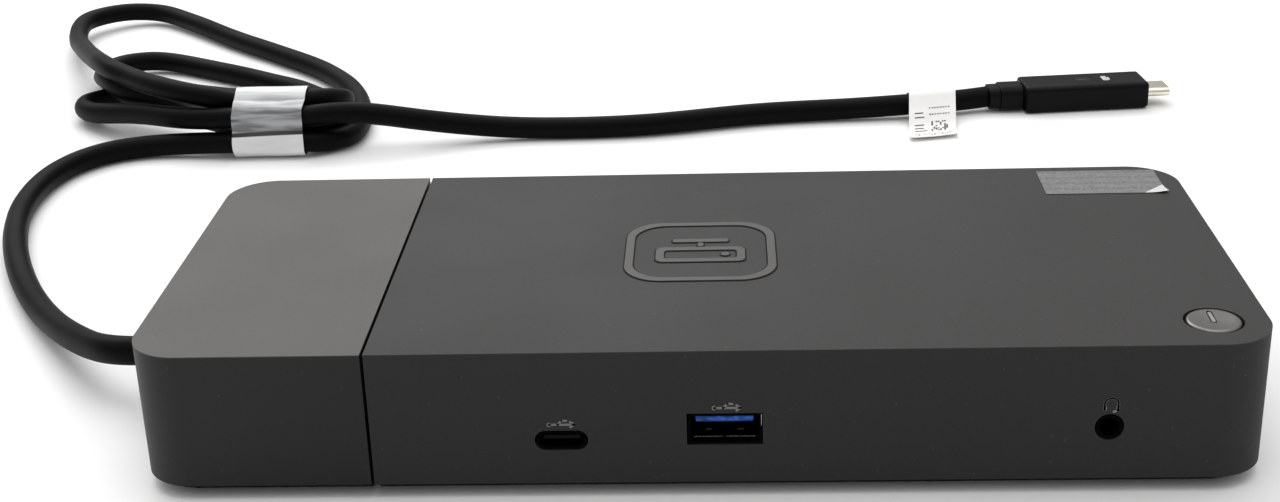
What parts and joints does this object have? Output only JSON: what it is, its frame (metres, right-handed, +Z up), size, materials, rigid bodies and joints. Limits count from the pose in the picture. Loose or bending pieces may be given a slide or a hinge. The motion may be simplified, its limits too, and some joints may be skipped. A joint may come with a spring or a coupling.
{
  "type": "laptop docking station",
  "caption": "Flat laptop docking station with front and rear ports, a round power button, an inner blower and a captive USB-C cord that lies in a tied hank.",
  "frame": {"origin": "under the middle of the housing, on the surface that the feet stand on", "axes": "+X along the housing's length, towards the power button; +Y towards the rear ports, so that the front wall faces -Y; +Z up"},
  "size_m": [0.3469, 0.3321, 0.0292],
  "materials": {
    "housing_plastic": "fine matte texture",
    "base_plastic": "matte",
    "rubber": "matte",
    "button_metal": "satin",
    "clear_plastic": "clear, gloss",
    "port_steel": "satin",
    "port_plastic": "matte",
    "usb_blue": "satin",
    "board_laminate": "satin solder mask",
    "aluminium": "satin",
    "thermal_pad": "matte",
    "fan_plastic": "satin",
    "screw_steel": "satin",
    "cord_jacket": "matte",
    "tie_film": "translucent, gloss",
    "paper_label": "coated paper",
    "label_film": "satin film",
    "badge": "satin"
  },
  "bodies": {
    "housing": {"main_top_cover": "housing_plastic", "module_top_cover": "housing_plastic", "main_base_cover": "base_plastic", "module_base_cover": "base_plastic", "left_foot": "rubber", "right_foot": "rubber", "module_foot": "rubber", "main_base_screw_1": "screw_steel", "main_base_screw_2": "screw_steel", "main_base_screw_3": "screw_steel", "main_base_screw_4": "screw_steel", "module_screw_1": "screw_steel", "module_screw_2": "screw_steel", "module_screw_3": "screw_steel", "module_screw_4": "screw_steel", "module_screw_5": "screw_steel", "module_screw_6": "screw_steel", "top_badge": "badge", "film_label": "label_film", "main_board": "board_laminate", "module_board": "board_laminate", "docking_socket": "port_plastic", "docking_plug": "port_plastic", "controller_chip": "port_plastic", "front_usb_c_tongue": "port_plastic", "front_audio_jack": "port_plastic", "rear_usb_c_tongue": "port_plastic", "rear_hdmi_tongue": "port_plastic", "rear_displayport_tongue_1": "port_plastic", "rear_displayport_tongue_2": "port_plastic", "rear_ethernet_jack": "port_plastic", "rear_line_out_jack": "port_plastic", "rear_dc_jack": "port_plastic", "thermal_pad": "thermal_pad", "heat_sink": "aluminium", "fan_lid": "aluminium", "fan_housing": "fan_plastic", "switch_body": "port_steel", "front_usb_c_shell": "port_steel", "front_usb_a_shell": "port_steel", "rear_usb_c_shell": "port_steel", "rear_hdmi_shell": "port_steel", "rear_displayport_shell_1": "port_steel", "rear_displayport_shell_2": "port_steel", "rear_usb_a_shell": "port_steel", "rear_dc_pin": "port_steel", "plug_shell": "port_steel", "front_usb_a_tongue": "usb_blue", "rear_usb_a_tongue_lower": "usb_blue", "rear_usb_a_tongue_upper": "usb_blue", "cord_gland": "cord_jacket", "usb_c_cord": "cord_jacket", "plug_boot": "cord_jacket", "plug_body": "cord_jacket", "cord_tie": "tie_film", "cord_label": "paper_label"},
    "power_button": {"power_button_cap": "button_metal", "button_light_pipe": "clear_plastic", "switch_plunger": "port_plastic"},
    "fan": {"fan_impeller": "fan_plastic"}
  },
  "joints": [
    {"name": "button_press", "type": "slide", "parent": "housing", "child": "power_button", "axis": [0, 0, -1], "range_m": [0, 0.0006], "stiffness_N_per_m": 1500, "springref_m": -0.0005},
    {"name": "fan_spin", "type": "hinge", "parent": "housing", "child": "fan", "pos_m": [0.072, 0, 0.0155], "axis": [0, 0, 1], "continuous": true}
  ]
}
